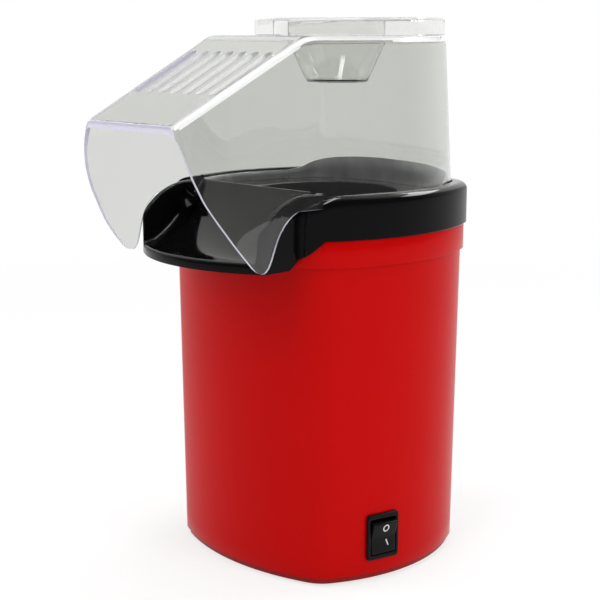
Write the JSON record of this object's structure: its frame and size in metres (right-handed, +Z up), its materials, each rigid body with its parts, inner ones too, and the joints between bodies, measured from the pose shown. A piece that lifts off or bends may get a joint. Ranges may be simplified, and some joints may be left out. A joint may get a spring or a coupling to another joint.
{
  "type": "popcorn maker",
  "caption": "Hot-air popcorn maker: red housing with fan, heater and popping chamber, black collar with a scooped chute, clear lift-off hood and measuring cup.",
  "frame": {"origin": "middle of the housing's footprint, on the table", "axes": "+Z up, the chute points along -Y, the switch is on the +X side"},
  "size_m": [0.1522, 0.1963, 0.2901],
  "materials": {
    "red_abs": "gloss",
    "rubber": "matte",
    "screw_steel": "satin",
    "black_pp": "gloss",
    "polished_aluminium": "polished",
    "clear_plastic": "gloss",
    "switch_black": "gloss",
    "brass": "satin",
    "gland_black": "matte",
    "aluminium_sheet": "satin",
    "steel_sheet": "satin",
    "mica": "matte",
    "heater_wire": "satin",
    "ceramic": "matte",
    "fuse_metal": "satin",
    "duct_plastic": "matte",
    "fan_plastic": "satin",
    "shaft_steel": "polished",
    "copper_winding": "satin",
    "ferrite": "matte",
    "cap_plastic": "matte",
    "board_green": "satin",
    "diode_black": "matte"
  },
  "bodies": {
    "body": {"housing": "red_abs", "base_plate": "red_abs", "feet": "rubber", "base_screws": "screw_steel", "collar": "black_pp", "collar_screws": "screw_steel", "rim_strip": "polished_aluminium", "switch_frame": "switch_black", "switch_contacts": "brass", "cord_gland": "gland_black", "lead_clamp": "gland_black", "popping_chamber": "aluminium_sheet", "heater_can": "steel_sheet", "can_screws": "screw_steel", "mica_frame": "mica", "heater_coil": "heater_wire", "thermostat": "ceramic", "thermal_fuse": "fuse_metal", "fan_shroud": "duct_plastic", "shroud_screws": "screw_steel", "motor_can": "steel_sheet", "motor_magnets": "ferrite", "motor_cap": "cap_plastic", "motor_bracket": "steel_sheet", "motor_screws": "screw_steel", "rectifier_board": "board_green", "diodes": "diode_black"},
    "hood_body": {"hood": "clear_plastic"},
    "cup_body": {"measuring_cup": "clear_plastic"},
    "rocker_body": {"switch_rocker": "switch_black"},
    "fan_body": {"fan_wheel": "fan_plastic", "motor_shaft": "shaft_steel", "motor_rotor": "copper_winding"}
  },
  "joints": [
    {"name": "hood_lift", "type": "slide", "parent": "body", "child": "hood_body", "axis": [0, 0, 1], "range_m": [0, 0.12]},
    {"name": "cup_lift", "type": "slide", "parent": "hood_body", "child": "cup_body", "axis": [0, 0, 1], "range_m": [0, 0.06]},
    {"name": "switch_rock", "type": "hinge", "parent": "body", "child": "rocker_body", "pos_m": [0.0662, -0.01937, 0.0245], "axis": [0.2105, 0.9776, 0], "range_deg": [0, 14]},
    {"name": "fan_spin", "type": "hinge", "parent": "body", "child": "fan_body", "pos_m": [0, 0.004, 0.07], "axis": [0, 0, 1], "continuous": true}
  ]
}
